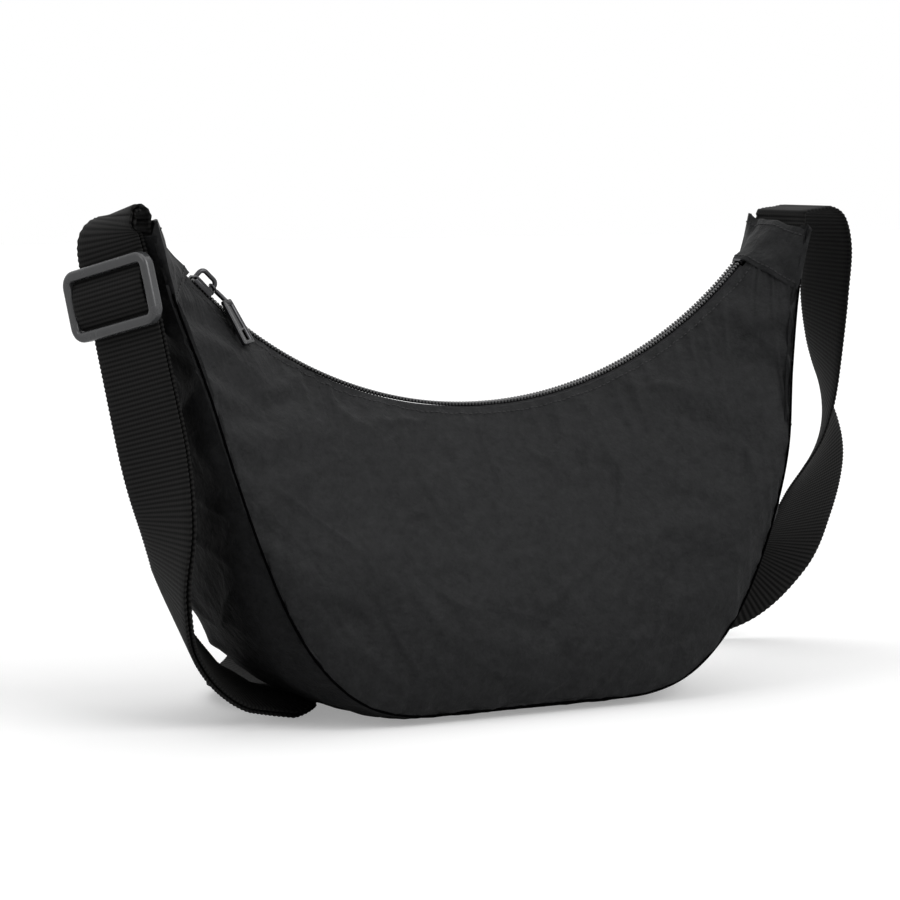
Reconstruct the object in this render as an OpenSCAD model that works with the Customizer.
// Half moon shoulder bag in soft nylon, with a curved zip and a wide webbing strap.
// The front faces -Y, +X is to the right, and the bag stands on its curved bottom at Z = 0.
// Units are millimetres.

/* [Bag] */
// Half width of the bag at the tops of its two horns
bag_half_w = 156; // [140:1:175]
// Height of the horn tops above the floor
bag_h = 200; // [180:1:225]
// Width of the gusset along the bottom, front seam to back seam
bag_depth = 96; // [84:1:108]
// Space on each side of the webbing in the flat top of a horn
horn_play = 5; // [3:0.5:7]
// Height of the bottom seams above the floor
seam_lift = 4; // [3:0.1:5]
// How far the gusset swells past its seams
gusset_swell = 4.4; // [4.1:0.1:5]
// How far the end tabs swell towards the mouth
tab_swell = 3; // [2.6:0.1:4]
// Thickness of the outer fabric with its backing
fabric_t = 1; // [0.6:0.1:1.2]
// Thickness of the lining
lining_t = 0.6; // [0.4:0.1:0.8]
// Space between the outer fabric and the lining
lining_gap = 0.4; // [0.3:0.1:0.8]

/* [Zip] */
// Height of each end tab, from the zip's end to the horn's top
tab_h = 15; // [12:0.5:18]
// Depth of the mouth, from the horn tops to the zip's lowest point
mouth_dip = 74.5; // [66:0.5:84]
// Distance from each horn's side to the zip's end
zip_inset = 20.5; // [18:0.5:24]
// Width of one row of the coil
coil_w = 2; // [1.6:0.1:2.4]
// Height of the coil
coil_h = 1.8; // [1.4:0.1:2.2]
// Gap between the two rows, in which the slider's neck runs
coil_slot = 1.6; // [1.4:0.1:2]
// Thickness of the zip tape
tape_t = 0.6; // [0.4:0.1:0.7]
// Width of the tape's leg that is sewn inside each panel
tape_leg = 8; // [6:0.5:10]
// Length of the slider's body
slider_l = 11; // [9:0.5:13]
// Thickness of the slider's plates
slider_plate = 1.1; // [0.9:0.1:1.4]
// Thickness of the slider's neck between the rows
slider_neck = 1; // [0.8:0.1:1.1]
// Running clearance of the slider
slider_play = 0.3; // [0.25:0.05:0.4]
// Height of the pull's axis above the slider's top plate
bridge_rise = 2.4; // [2.2:0.1:3]
// Radius of the bridge's two corners, to the middle of its wire
bridge_r = 2.2; // [2:0.1:2.5]
// Thickness of the bridge's wire
bridge_t = 1.2; // [1:0.1:1.3]

/* [Pull] */
// Length of the pull's body
pull_l = 20; // [18:0.5:23]
// Width of the pull's body at its tip
pull_w = 6.4; // [5.8:0.1:7.2]
// Width of the pull's body at the neck
pull_top_w = 4.8; // [4:0.1:5.6]
// Thickness of the pull
pull_t = 1.5; // [1.3:0.1:1.8]
// Length of the window near the pull's tip
pull_window_l = 4.5; // [4:0.1:5.5]
// Length from the middle of the eye to the body
neck_l = 8; // [7.5:0.1:9]
// Thickness of the neck
neck_t = 1.6; // [1.3:0.1:1.8]
// Radius of the pull's eye, to the middle of its wire
eye_r = 1.8; // [1.7:0.05:2]
// Thickness of the eye's wire
eye_wire = 1.1; // [0.9:0.05:1.2]
// Angle of the neck below the zip's direction
neck_drop_angle = 12; // [8:1:16]
// Sideways lean of the neck over the slider's front side
neck_lean_angle = 40; // [36:1:46]
// Angle of the hanging body below the zip's direction
pull_drop_angle = 24; // [18:1:28]
// Sideways lean of the body over the front panel
pull_lean_angle = 20; // [16:1:24]
// Roll of the body towards the face of the front panel
pull_roll_angle = 50; // [30:1:60]

/* [Strap] */
// Width of the webbing
webbing_w = 38; // [36:1:40]
// Thickness of the webbing
webbing_t = 1.6; // [1.2:0.1:2]
// Space between the two layers of the left strap
layer_gap = 0.5; // [0.4:0.1:1]

/* [Adjuster] */
// Space on each side of the webbing inside the adjuster's frame
frame_play = 1.8; // [0.5:0.1:3]
// Height of the adjuster's frame, along the webbing
frame_h = 29; // [26:0.5:32]
// Thickness of the adjuster's frame
frame_t = 5; // [4:0.1:6]
// Width of the frame's four sides
frame_bar = 4.2; // [3.6:0.1:4.8]
// Corner radius of the frame
frame_corner = 5; // [3:0.1:6]
// Radius of the centre bar that the webbing passes over
centre_bar_r = 1.8; // [1.4:0.1:2]

/* [Ring] */
// Length of the square ring along the strap
ring_l = 22; // [20:0.5:25]
// Space on each side of the webbing inside the ring
ring_side_play = 2; // [1:0.5:4]
// Radius of the ring's wire
ring_wire_r = 1.5; // [1.2:0.1:1.7]
// Space between each end bar and its loop of webbing
ring_play = 0.3; // [0.3:0.05:0.5]

/* [Hidden] */

// Steps of the curved shells
panel_steps = 44;
panel_rows = 12;
gusset_steps = 60;
gusset_rows = 10;
lining_steps = 26;
lining_rows = 8;
tab_rows = 4;
tape_steps = 30;
spline_steps = 5;

// The seam outline from the middle of the bottom to a horn's top, as shares of the half
// width and of the height above the bottom seam
outline_shares = [[0, 0], [0.2, 0], [0.37, 0.004], [0.5, 0.037], [0.61, 0.11], [0.70, 0.215],
                  [0.78, 0.36], [0.843, 0.515], [0.893, 0.69], [0.955, 0.867], [1, 1]];
// Half depth of the bag at the same places, as shares of the half depth at the bottom
depth_shares = [1, 1, 1, 1, 1, 0.99, 0.965, 0.90, 0.72, 0.53, 0.5];
// Swell of the gusset at the same places
swell_shares = [1, 1, 0.3, 0.2, 0.6, 0.8, 0.8, 0.8, 0.7, 0.55, 0.4];
knots = len(outline_shares) - 1;
tab_knot = knots - 1;
// Handles of the panels' sections, as shares of the section's chord
top_handle_share = 0.37;
low_handle_share = 0.47;
// Lean of the panels towards the front, at the middle of the bag and at the tabs
top_lean_shares = [0.28, 0.25, 0.12];
low_lean_shares = [0.72, 0.55, 0.05];

// Widths that follow the webbing: the gusset at the horn tops, the adjuster and the ring
horn_depth = webbing_w + 2 * horn_play;
frame_w = webbing_w + 2 * (frame_play + frame_bar);
ring_w = webbing_w + 2 * (ring_side_play + ring_wire_r);

// Clearances of the sewn pieces
seam_gap = 0.4;
edge_t_share = 0.2;
edge_taper = 8;
lining_margin = 9;
overrun = 1;

// The zip is an arc about an axis along Y
zip_end_x = bag_half_w - zip_inset;
zip_low_z = bag_h - mouth_dip;
zip_sag = mouth_dip - tab_h;
zip_r = (zip_end_x * zip_end_x + zip_sag * zip_sag) / (2 * zip_sag);
zip_axis_z = zip_low_z + zip_r;
zip_half_angle = asin(zip_end_x / zip_r);
coil_edge = coil_slot / 2 + coil_w;
tape_gap = 0.1;
tape_play = 0.5;
flange_t = 1.2;
panel_edge_y = coil_edge + slider_play + flange_t;

// The slider rests at the closed end of the zip, on the left
slider_half_angle = asin(slider_l / 2 / zip_r);
slider_rest_angle = -(zip_half_angle - 2 * slider_half_angle);
stop_l = 2.4;
stop_gap_angle = asin(0.6 * stop_l / zip_r);

function unit(v) = v / norm(v);
function mix(a, b, k) = a + (b - a) * k;
function flatten(rows) = [for (row = rows) each row];

// A smooth curve through the points of a list, where s runs from 0 to the last index
function spline(p, s) =
    let (i = max(0, min(len(p) - 2, floor(s))), t = s - i,
         a = p[max(i - 1, 0)], b = p[i], c = p[i + 1], d = p[min(i + 2, len(p) - 1)])
    0.5 * (2 * b + (c - a) * t + (2 * a - 5 * b + 4 * c - d) * t * t
           + (3 * b - a - 3 * c + d) * t * t * t);

function both_ways(list) = [for (i = [-knots:knots]) list[abs(i)]];
outline = [for (i = [-knots:knots]) [sign(i) * outline_shares[abs(i)].x, outline_shares[abs(i)].y]];
depths = both_ways(depth_shares);
swells = both_ways(swell_shares);

// Half depth at the horn's top is the horn's own size, and the bottom follows the bag's depth
function half_depth(s) =
    let (share = spline(depths, s + knots), low = depth_shares[knots])
    mix(horn_depth / 2, bag_depth / 2, (share - low) / (1 - low));
function seam_point(s) =
    let (q = spline(outline, s + knots)) [q.x * bag_half_w, seam_lift + q.y * (bag_h - seam_lift)];
function outline_normal(s) =
    let (e = 0.05, d = unit(seam_point(s + e) - seam_point(s - e))) [d.y, -d.x];

// A point on the zip's arc at an angle from its lowest point, at a depth under the arc
function zip_point(angle, y, under) =
    [(zip_r + under) * sin(angle), y, zip_axis_z - (zip_r + under) * cos(angle)];
function zip_angle(s) = zip_half_angle * s / tab_knot;

function lean(shares, s) = spline(shares, abs(s) / tab_knot * (len(shares) - 1));
// The front panel: s runs along the zip and v from the zip's edge to the bottom seam
function panel_point(s, v) =
    let (top = zip_point(zip_angle(s), -panel_edge_y, tape_gap),
         q = seam_point(s), low = [q.x, -half_depth(s), q.y],
         chord = norm(low - top), down = (low - top) / chord,
         a = top + unit(down + [0, -lean(top_lean_shares, s), 0]) * chord * top_handle_share,
         b = low + unit([0, -lean(low_lean_shares, s), 0] - down) * chord * low_handle_share,
         u = 1 - v)
    top * u * u * u + 3 * a * u * u * v + 3 * b * u * v * v + low * v * v * v;
function panel_chord(s) =
    let (q = seam_point(s))
    norm([q.x, -half_depth(s), q.y] - zip_point(zip_angle(s), -panel_edge_y, 0));
function panel_normal(s, v) =
    let (e = 0.02, f = 0.01)
    unit(cross(panel_point(s + e, v) - panel_point(s - e, v),
               panel_point(s, v + f) - panel_point(s, v - f)));
function panel_inside(s, v, depth) = panel_point(s, v) + panel_normal(s, v) * depth;
// Sewn fabric thins towards its edges, where it is turned and pressed
function edge_wall(t, from_edge) =
    t * min(1, edge_t_share + (1 - edge_t_share) * max(0, from_edge) / edge_taper);

// The gusset: s runs round the outline and w across it, from -1 at the front to 1 at the back
swell_flat_share = 0.7;
function swell_profile(w) =
    let (k = max(0, (abs(w) - swell_flat_share) / (1 - swell_flat_share))) 1 - k * k;
function gusset_point(s, w) =
    let (q = seam_point(s), n = outline_normal(s), d = half_depth(s) - fabric_t - seam_gap,
         out = gusset_swell * spline(swells, s + knots) * swell_profile(w))
    [q.x + n.x * out, w * d, max(0, q.y + n.y * out)];
function gusset_normal(s, w) =
    let (e = 0.05, f = 0.02)
    unit(cross(gusset_point(s + e, w) - gusset_point(s - e, w),
               gusset_point(s, w + f) - gusset_point(s, w - f)));

// The right end tab: j runs across the horn's mouth side, from the back seam to the front seam,
// and k from the zip's end to the top
tab_start_share = 0.06;
tab_start = tab_knot + tab_start_share;
function tab_low(v) = panel_point(tab_start, v);
function tab_top(v) =
    let (y = tab_low(v).y * half_depth(knots) / half_depth(tab_knot), r = y / half_depth(knots))
    [bag_half_w - tab_swell * (1 - r * r * r * r), y, bag_h];
function tab_front(v, k) = mix(tab_low(v), tab_top(v), k);
tab_side_shares = [0, 0.12, 0.25, 0.4, 0.55, 0.7, 0.85, 1];
function tab_at(j) =
    let (last = len(tab_side_shares) - 1)
    j > last ? [tab_side_shares[j - last - 1], -1] : [tab_side_shares[last - j], 1];
function tab_point(j, k) =
    let (a = tab_at(j), p = tab_front(a[0], k)) [p.x, -p.y * a[1], p.z];

// A closed shell between two grids of points
module shell(outer, inner) {
    n = len(outer);
    m = len(outer[0]);
    base = n * m;
    function at(i, j) = i * m + j;
    function quad(a, b, c, d) = [[a, c, b], [a, d, c]];
    polyhedron(
        points = concat(flatten(outer), flatten(inner)),
        faces = concat(
            [for (i = [0:n - 2], j = [0:m - 2])
                each quad(at(i, j), at(i, j + 1), at(i + 1, j + 1), at(i + 1, j))],
            [for (i = [0:n - 2], j = [0:m - 2])
                each quad(base + at(i, j), base + at(i + 1, j),
                          base + at(i + 1, j + 1), base + at(i, j + 1))],
            [for (i = [0:n - 2])
                each quad(at(i, 0), at(i + 1, 0), base + at(i + 1, 0), base + at(i, 0))],
            [for (i = [0:n - 2])
                each quad(at(i + 1, m - 1), at(i, m - 1), base + at(i, m - 1),
                          base + at(i + 1, m - 1))],
            [for (j = [0:m - 2])
                each quad(at(0, j + 1), at(0, j), base + at(0, j), base + at(0, j + 1))],
            [for (j = [0:m - 2])
                each quad(at(n - 1, j), at(n - 1, j + 1), base + at(n - 1, j + 1),
                          base + at(n - 1, j))]),
        convexity = 8);
}

// A solid through a list of rings with equal counts of points. Both broad sides of a ribbon are
// split along the same diagonal, so that they stay parallel where it twists
module loft(rings) {
    n = len(rings);
    m = len(rings[0]);
    polyhedron(
        points = flatten(rings),
        faces = concat(
            [for (i = [0:n - 2], j = [0:m - 1])
                let (a = i * m + j, b = i * m + (j + 1) % m, c = b + m, d = a + m)
                each j < m / 2 ? [[a, c, b], [a, d, c]] : [[a, d, b], [b, d, c]]],
            [for (j = [1:m - 2]) [0, j, j + 1]],
            [for (j = [1:m - 2]) [(n - 1) * m, (n - 1) * m + j + 1, (n - 1) * m + j]]),
        convexity = 8);
}

function steps(count, low, high) = [for (i = [0:count]) mix(low, high, i / count)];

module panel_shell() {
    along = steps(panel_steps, -tab_knot, tab_knot);
    down = steps(panel_rows, 0, 1);
    shell([for (s = along) [for (v = down) panel_point(s, v)]],
          [for (s = along) [for (v = down)
              panel_inside(s, v, edge_wall(fabric_t, (1 - v) * panel_chord(s)))]]);
}

module lining_shell() {
    start = lining_gap + fabric_t;
    along = steps(lining_steps, 1 - tab_knot, tab_knot - 1);
    function down(s) = steps(lining_rows, 1.4 * tape_leg / panel_chord(s),
                             1 - lining_margin / panel_chord(s));
    shell([for (s = along) [for (v = down(s)) panel_inside(s, v, start)]],
          [for (s = along) [for (v = down(s)) panel_inside(s, v, start + lining_t)]]);
}

module gusset_shell(count, rows, end, reach, from, wall) {
    along = steps(count, -end, end);
    across = steps(rows, -reach, reach);
    function edge(s, w) = (1 - abs(w)) * half_depth(s);
    shell([for (s = along) [for (w = across)
              gusset_point(s, w) + gusset_normal(s, w) * from]],
          [for (s = along) [for (w = across)
              gusset_point(s, w) + gusset_normal(s, w) * (from + edge_wall(wall, edge(s, w)))]]);
}

module front_panel() { color("#33353a") panel_shell(); }
module back_panel() { color("#33353a") mirror([0, 1, 0]) panel_shell(); }
module gusset() {
    color("#232528") gusset_shell(gusset_steps, gusset_rows, knots, 1, 0, fabric_t);
}
module front_lining() { color("#3a3a3c") lining_shell(); }
module back_lining() { color("#3a3a3c") mirror([0, 1, 0]) lining_shell(); }

module gusset_lining() {
    color("#3a3a3c")
        gusset_shell(lining_steps, lining_rows, tab_knot - 1, 0.72, fabric_t + lining_gap, lining_t);
}

module end_tab() {
    cells = steps(tab_rows, 0, 1);
    count = 2 * len(tab_side_shares) - 1;
    function inward(j, k) =
        let (y = min(1, abs(tab_point(j, k).y) / half_depth(knots)))
        mix([1, 0, -1] / sqrt(2), [1, 0, 0], k) * fabric_t * mix(1, edge_t_share, y * y * y * y);
    shell([for (k = cells) [for (j = [0:count]) tab_point(j, k)]],
          [for (k = cells) [for (j = [0:count]) tab_point(j, k) + inward(j, k)]]);
}
module right_end_tab() { color("#2b2d31") end_tab(); }
module left_end_tab() { color("#2b2d31") mirror([1, 0, 0]) end_tab(); }

// A zip tape: a flat edge beside the coil and a leg sewn down the inside of the panel
tape_edge_y = panel_edge_y - fabric_t - tape_play;
module zip_tape() {
    start = fabric_t + tape_play;
    loft([for (s = steps(tape_steps, 0.2 - tab_knot, tab_knot - 0.2))
        let (v = tape_leg / (3 * top_handle_share * panel_chord(s)), angle = zip_angle(s))
        [zip_point(angle, -coil_slot / 2, tape_gap),
         zip_point(angle, -tape_edge_y, tape_gap),
         panel_inside(s, v, start),
         panel_inside(s, v, start + tape_t),
         zip_point(angle, tape_t - tape_edge_y, tape_gap + 2 * tape_t),
         zip_point(angle, -coil_slot / 2, tape_gap + tape_t)]]);
}
module front_zip_tape() { color("#151517") zip_tape(); }
module back_zip_tape() { color("#151517") mirror([0, 1, 0]) zip_tape(); }

// Turns a shape that stands on the zip's lowest point to an angle along its arc
module on_zip(angle) {
    translate([0, 0, zip_axis_z]) rotate([0, -angle, 0]) translate([0, 0, -zip_axis_z]) children();
}
// Sweeps an outline of [depth under the arc, y] points along the arc
module zip_sweep(from, to) {
    translate([0, 0, zip_axis_z]) rotate([90, 0, 0]) rotate([0, 0, from - 90])
        rotate_extrude(angle = to - from, $fn = 360) children();
}
module zip_profile(under_low, under_high, y_low, y_high) {
    translate([zip_r + under_low, -y_high]) square([under_high - under_low, y_high - y_low]);
}
module coil_row(side) {
    end = zip_half_angle - 2 * stop_gap_angle;
    low = side < 0 ? -coil_edge : coil_slot / 2;
    zip_sweep(slider_rest_angle - slider_half_angle, end)
        zip_profile(-coil_h, 0, low, low + coil_w);
}
module front_coil() { color("#3f4145") coil_row(-1); }
module back_coil() { color("#3f4145") coil_row(1); }

// Stops close both ends of the coil
module zip_stops() {
    start = zip_half_angle - 2 * stop_gap_angle + asin(slider_play / zip_r);
    color("#2c2d30") for (side = [-1, 1]) on_zip(side * (start + stop_gap_angle / 2))
        translate([-stop_l / 4, -coil_edge, zip_low_z])
            cube([stop_l / 2, 2 * coil_edge, coil_h]);
}

// The slider straddles the coil: two plates, a neck, two side flanges and an arched bridge
slider_top = coil_h + slider_play;
slider_low = tape_gap + 2 * tape_t + slider_play;
low_plate_w = 2 * (tape_edge_y - tape_t - slider_play);
bridge_half = slider_l / 5;
bridge_z = zip_low_z + slider_top + slider_plate + bridge_rise;
module slider_body() {
    half = slider_half_angle;
    wide = coil_edge + slider_play + flange_t;
    color("#4b4d52") on_zip(slider_rest_angle) {
        zip_sweep(-half, half) zip_profile(-slider_top - slider_plate, -slider_top, -wide, wide);
        zip_sweep(-half, half) zip_profile(slider_low, slider_low + slider_plate,
                                           -low_plate_w / 2, low_plate_w / 2);
        zip_sweep(-half / 4, half)
            zip_profile(-slider_top - slider_plate / 2, slider_low + slider_plate / 2,
                        -slider_neck / 2, slider_neck / 2);
        for (side = [-1, 1])
            zip_sweep(-half, half)
                zip_profile(-slider_top - slider_plate / 2, -slider_play,
                            side < 0 ? -wide : wide - flange_t, side < 0 ? flange_t - wide : wide);
        translate([0, 0, bridge_z]) rotate([90, 0, 0]) bridge();
    }
}
module bridge() {
    foot = bridge_rise + slider_plate / 2;
    translate([-bridge_half, bridge_r, 0]) rotate([0, 90, 0])
        cylinder(d = bridge_t, h = 2 * bridge_half, $fn = 24);
    for (side = [-1, 1]) translate([side * bridge_half, 0, 0]) {
        rotate([0, 0, side < 0 ? 90 : 0]) rotate_extrude(angle = 90, $fn = 48)
            translate([bridge_r, 0]) circle(d = bridge_t, $fn = 24);
        translate([side * bridge_r, -foot, 0]) rotate([-90, 0, 0])
            cylinder(d = bridge_t, h = foot, $fn = 24);
    }
}

// The pull: an eye round the bridge's wire, a neck that leads out over the coil's edge, and a
// flat body with a window, which hangs down the front panel
eye_play = (eye_r - eye_wire / 2 - bridge_t / 2) / 2;
module pull_tab() {
    lean = [cos(neck_lean_angle), -sin(neck_lean_angle), 0] * neck_l;
    color("#55575c") on_zip(slider_rest_angle)
        translate([bridge_half, 0, bridge_z]) rotate([0, neck_drop_angle, 0])
            translate([bridge_r + eye_play, 0, 0]) {
                rotate_extrude($fn = 48) translate([eye_r, 0]) circle(d = eye_wire, $fn = 20);
                rotate([0, 90, -neck_lean_angle]) translate([0, 0, eye_r])
                    cylinder(d = neck_t, h = neck_l - eye_r, $fn = 24);
                translate(lean) rotate([0, pull_drop_angle - neck_drop_angle, 0])
                    rotate([0, 0, -pull_lean_angle]) rotate([pull_roll_angle, 0, 0]) pull_plate();
            }
}
module pull_plate() {
    head = neck_t / 2;
    window_w = pull_w - 2 * pull_t;
    difference() {
        translate([0, 0, -pull_t / 2]) linear_extrude(pull_t) polygon([
            [-head, -neck_t / 2], [head, -pull_top_w / 2], [pull_l, -pull_w / 2],
            [pull_l, pull_w / 2], [head, pull_top_w / 2], [-head, neck_t / 2]]);
        translate([pull_l - pull_t - pull_window_l, -window_w / 2, -pull_t])
            cube([pull_window_l, window_w, 2 * pull_t]);
    }
}

// The square ring stands behind the bag, where the left route ends and the long one starts
loop_r = ring_wire_r + ring_play + webbing_t;
ring_reach = ring_l / 2 - ring_wire_r + loop_r + layer_gap;
ring_rise = (ring_w - webbing_t) / 2 / bag_h;
ring_x_share = -0.09;
ring_back_share = 1.09;
ring_x = ring_x_share * bag_half_w;
ring_back = ring_back_share * bag_depth;
ring_y = ring_back - loop_r + webbing_t / 2;

// The strap's route. Each row holds the middle of the webbing as shares of the half width,
// the depth and the height, and the direction of its width
left_route_shares = [
    [-0.968, 0.000, 0.920, 0.00, -1.00, 0.00],
    [-1.000, 0.000, 1.002, 0.00, -1.00, 0.00],
    [-1.004, 0.000, 1.030, 0.00, -1.00, 0.00],
    [-1.026, 0.000, 1.040, 0.00, -1.00, 0.00],
    [-1.050, 0.000, 1.030, 0.08, -0.99, 0.06],
    [-1.070, -0.005, 0.985, 0.28, -0.93, 0.20],
    [-1.053, -0.047, 0.886, 0.33, -0.92, 0.22],
    [-1.027, -0.117, 0.721, 0.33, -0.92, 0.22],
    [-1.000, -0.188, 0.556, 0.33, -0.92, 0.22],
    [-0.981, -0.229, 0.425, 0.17, -0.98, 0.12],
    [-0.962, -0.198, 0.301, -0.12, -0.98, 0.06],
    [-0.910, -0.115, 0.209, -0.30, -0.93, -0.05],
    [-0.833, -0.047, 0.131, -0.30, -0.93, -0.21],
    [-0.734, 0.010, 0.068, -0.20, -0.93, -0.24],
    [-0.622, 0.073, 0.036, 0.05, -0.97, -0.24],
    [-0.556, 0.188, 0.028, 0.52, -0.82, -0.15],
    [-0.552, 0.375, 0.022, 0.86, -0.46, -0.15],
    [-0.498, 0.600, 0.016, 0.90, -0.40, -0.13],
    [-0.385, 0.800, 0.029, 0.80, -0.55, -0.26],
    [-0.301, 0.948, 0.081, 0.50, -0.15, -0.83],
    [-0.270, 1.060, ring_rise, 0.00, 0.00, -1.00],
    [(ring_x - ring_reach) / bag_half_w, ring_back_share, ring_rise, 0.00, 0.00, -1.00]];
long_route_shares = [
    [(ring_x + ring_reach) / bag_half_w, ring_back_share, ring_rise, 0.00, 0.00, -1.00],
    [0.190, 1.130, 0.098, 0.00, 0.00, -1.00],
    [0.430, 1.140, 0.095, 0.00, 0.00, -1.00],
    [0.700, 1.080, 0.095, 0.00, 0.00, -1.00],
    [0.960, 0.965, 0.095, 0.03, 0.05, -1.00],
    [1.154, 0.917, 0.102, 0.15, 0.12, -0.98],
    [1.250, 0.854, 0.132, 0.35, 0.25, -0.93],
    [1.314, 0.750, 0.196, 0.62, 0.38, -0.75],
    [1.340, 0.604, 0.281, 0.85, 0.42, -0.42],
    [1.327, 0.438, 0.381, 0.92, 0.38, -0.12],
    [1.288, 0.271, 0.486, 0.78, 0.62, -0.05],
    [1.237, 0.135, 0.601, 0.47, 0.88, 0.00],
    [1.196, 0.052, 0.721, 0.20, 0.98, 0.00],
    [1.179, 0.010, 0.836, 0.03, 1.00, 0.00],
    [1.183, 0.000, 0.946, 0.00, 1.00, 0.00],
    [1.160, 0.000, 1.025, 0.00, 1.00, 0.00],
    [1.109, 0.000, 1.050, 0.00, 1.00, 0.00],
    [1.052, 0.000, 1.046, 0.00, 1.00, 0.00],
    [1.026, 0.000, 1.042, 0.00, 1.00, 0.00],
    [1.004, 0.000, 1.032, 0.00, 1.00, 0.00],
    [1.000, 0.000, 1.002, 0.00, 1.00, 0.00],
    [0.968, 0.000, 0.920, 0.00, 1.00, 0.00]];

function route_point(route, s) =
    let (q = spline(route, s))
    [q[0] * bag_half_w, q[1] * bag_depth, q[2] * bag_h + webbing_t / 2];
function route_along(route, s) =
    let (e = 0.05) unit(route_point(route, s + e) - route_point(route, s - e));
function route_width(route, s) =
    let (q = spline(route, s), w = [q[3], q[4], q[5]], d = route_along(route, s))
    unit(w - (w * d) * d);
function route_face(route, s) = unit(cross(route_along(route, s), route_width(route, s)));

// A ribbon of webbing along a route, shifted off it towards its face, by one amount to the
// last stretch and by another at its end
module ribbon(route, from, to, first_shift, last_shift) {
    count = round((to - from) * spline_steps);
    loft([for (s = steps(count, from, to))
        let (p = route_point(route, s), w = route_width(route, s) * webbing_w / 2,
             shift = mix(first_shift, last_shift, max(0, 1 + s - to)),
             f = route_face(route, s), near = f * (shift - webbing_t / 2),
             far = f * (shift + webbing_t / 2))
        [p - w + near, p + w + near, p + w + far, p - w + far]]);
}
layer_shift = webbing_t + layer_gap;
left_end = len(left_route_shares) - 1;
long_end = len(long_route_shares) - 1;

// The end of each strap, as far as the crest of its fold, is sewn into its horn
fold_knots = 3;
left_fold_knot = fold_knots;
long_fold_knot = long_end - fold_knots;
fold_gap_share = 0.15;

module left_webbing_root() { color("#1d1e21") ribbon(left_route_shares, 0, left_fold_knot, 0, 0); }
module right_webbing_root() {
    color("#1d1e21") ribbon(long_route_shares, long_fold_knot, long_end, 0, 0);
}
module strap_front_layer() {
    color("#222327") ribbon(left_route_shares, left_fold_knot + fold_gap_share, left_end, 0, 0);
}
module strap_return_layer() {
    color("#1c1d20") ribbon(left_route_shares, left_fold_knot + fold_gap_share, left_end,
                            -layer_shift, webbing_t - 2 * loop_r);
}
module strap_long() {
    color("#222327") ribbon(long_route_shares, 0, long_fold_knot - fold_gap_share, 0, 0);
}

// Sets a shape into the strap's own directions: X along its width, Y up along it, Z outward
module on_strap(s) {
    p = route_point(left_route_shares, s);
    x = route_width(left_route_shares, s);
    y = -route_along(left_route_shares, s);
    z = cross(x, y);
    translate(p) rotate([atan2(y.z, z.z), asin(-x.z), atan2(x.y, x.x)]) children();
}

// The adjuster: a rounded frame with a centre bar, and the webbing that passes over the bar
adjuster_share = 0.29;
adjuster_knot = adjuster_share * left_end;
adjuster_gap = 0.7;
frame_z = webbing_t / 2 + adjuster_gap + frame_t / 2;
bar_z = frame_z - 0.1 * frame_t;
module rounded_plate(w, h, r, t) {
    translate([0, 0, -t / 2]) linear_extrude(t) {
        square([w - 2 * r, h], center = true);
        square([w, h - 2 * r], center = true);
        for (x = [-1, 1], y = [-1, 1])
            translate([x * (w / 2 - r), y * (h / 2 - r)]) circle(r = r, $fn = 40);
    }
}
module adjuster_frame() {
    color("#4a4b4e") on_strap(adjuster_knot) {
        translate([0, 0, frame_z]) difference() {
            rounded_plate(frame_w, frame_h, frame_corner, frame_t);
            cube([frame_w - 2 * frame_bar, frame_h - 2 * frame_bar, 2 * frame_t], center = true);
        }
        translate([-frame_w / 2 + frame_bar / 2, 0, bar_z]) rotate([0, 90, 0])
            cylinder(r = centre_bar_r, h = frame_w - frame_bar, $fn = 32);
    }
}
wrap_gap = 0.3;
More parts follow.
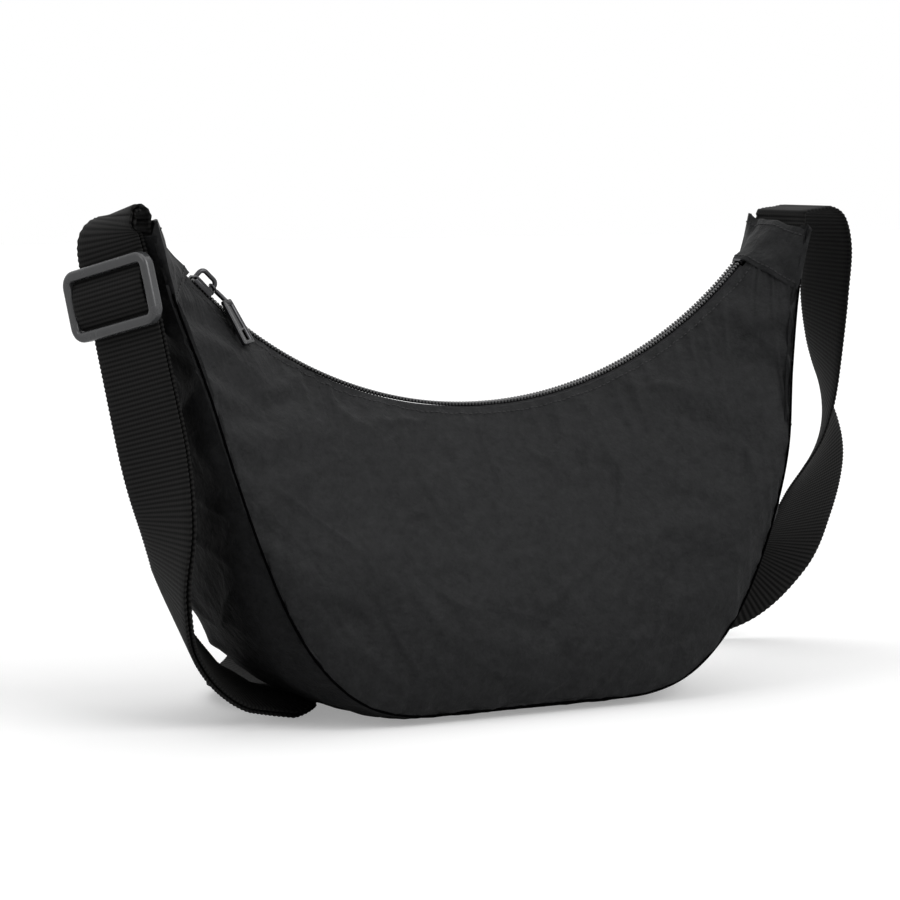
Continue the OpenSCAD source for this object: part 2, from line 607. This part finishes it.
module adjuster_webbing() {
    hug = centre_bar_r + wrap_gap;
    rim = hug + webbing_t;
    reach = frame_h / 2 - frame_bar - wrap_gap;
    foot = webbing_t / 2 + adjuster_gap;
    color("#222327") on_strap(adjuster_knot) rotate([90, 0, 90])
        translate([0, 0, -webbing_w / 2]) linear_extrude(webbing_w) polygon([
            [-reach, foot], [-reach + webbing_t, foot], [-hug - webbing_t / 2, bar_z - hug / 2],
            [-hug * 0.8, bar_z + hug * 0.6], [0, bar_z + hug], [hug * 0.8, bar_z + hug * 0.6],
            [hug + webbing_t / 2, bar_z - hug / 2], [reach - webbing_t, foot], [reach, foot],
            [reach, foot + webbing_t * 0.8], [rim + webbing_t / 2, bar_z],
            [rim * 0.75, bar_z + rim * 0.75], [0, bar_z + rim],
            [-rim * 0.75, bar_z + rim * 0.75], [-rim - webbing_t / 2, bar_z],
            [-reach, foot + webbing_t * 0.8]]);
}

// The square ring behind the bag, with a loop of webbing round each end bar
module in_ring() { translate([ring_x, ring_y, ring_w / 2]) rotate([90, 0, 0]) children(); }
module ring_bar(l) { translate([0, 0, -l / 2]) cylinder(r = ring_wire_r, h = l, $fn = 24); }
module strap_ring() {
    half_w = ring_w / 2 - ring_wire_r;
    half_l = ring_l / 2 - ring_wire_r;
    color("#3c3d40") in_ring() for (side = [-1, 1]) {
        translate([side * half_l, 0, 0]) rotate([90, 0, 0]) ring_bar(2 * half_w);
        translate([0, side * half_w, 0]) rotate([0, 90, 0]) ring_bar(2 * half_l);
        for (end = [-1, 1]) translate([side * half_l, end * half_w, 0])
            sphere(r = ring_wire_r, $fn = 24);
    }
}
module ring_loops() {
    half_l = ring_l / 2 - ring_wire_r;
    color("#1c1d20") in_ring() for (side = [-1, 1])
        translate([side * half_l, webbing_w / 2, 0]) rotate([90, 0, 0]) difference() {
            cylinder(r = loop_r, h = webbing_w, $fn = 40);
            translate([0, 0, -overrun])
                cylinder(r = ring_wire_r + ring_play, h = webbing_w + 2 * overrun, $fn = 32);
        }
}

front_panel();
back_panel();
gusset();
left_end_tab();
right_end_tab();
front_lining();
back_lining();
gusset_lining();
front_zip_tape();
back_zip_tape();
front_coil();
back_coil();
zip_stops();
left_webbing_root();
right_webbing_root();
slider_body();
pull_tab();
adjuster_frame();
adjuster_webbing();
strap_front_layer();
strap_return_layer();
strap_ring();
ring_loops();
strap_long();
